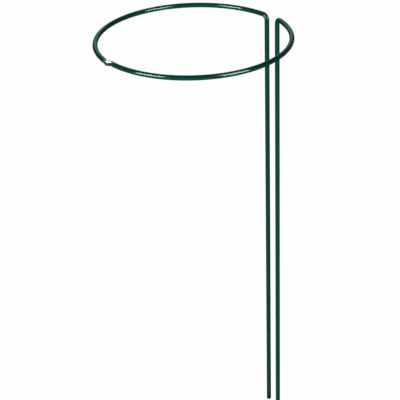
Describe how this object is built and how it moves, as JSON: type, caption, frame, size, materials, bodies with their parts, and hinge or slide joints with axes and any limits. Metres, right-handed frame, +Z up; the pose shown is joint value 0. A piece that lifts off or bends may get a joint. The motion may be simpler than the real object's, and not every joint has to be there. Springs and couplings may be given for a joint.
{
  "type": "plant support ring stake",
  "caption": "Round plant support of plastic-coated steel wire: half rings hinge at a rivet to open round stems, and each half runs down into a straight leg that is pushed into soil.",
  "frame": {"origin": "midway between the two leg tips, at the level of the tips", "axes": "+Z up along the legs, the ring reaches out along -Y with the rivet at its far side, +X towards the right half seen from the rivet"},
  "size_m": [0.25, 0.2521, 0.611],
  "materials": {
    "steel_wire": "drawn mild steel wire, hidden under the coating",
    "green_coating": "glossy dark blue-green plastic coating",
    "rivet_metal": "bright plated steel rivet"
  },
  "bodies": {
    "left_half": {"left_wire_core": "steel_wire", "left_plastic_coating": "green_coating", "pivot_rivet": "rivet_metal"},
    "right_half": {"right_wire_core": "steel_wire", "right_plastic_coating": "green_coating"}
  },
  "joints": [
    {"name": "ring_pivot", "type": "hinge", "parent": "left_half", "child": "right_half", "pos_m": [0, -0.2435, 0.6059], "axis": [0, 0, -1], "range_deg": [-3.6, 132]}
  ]
}
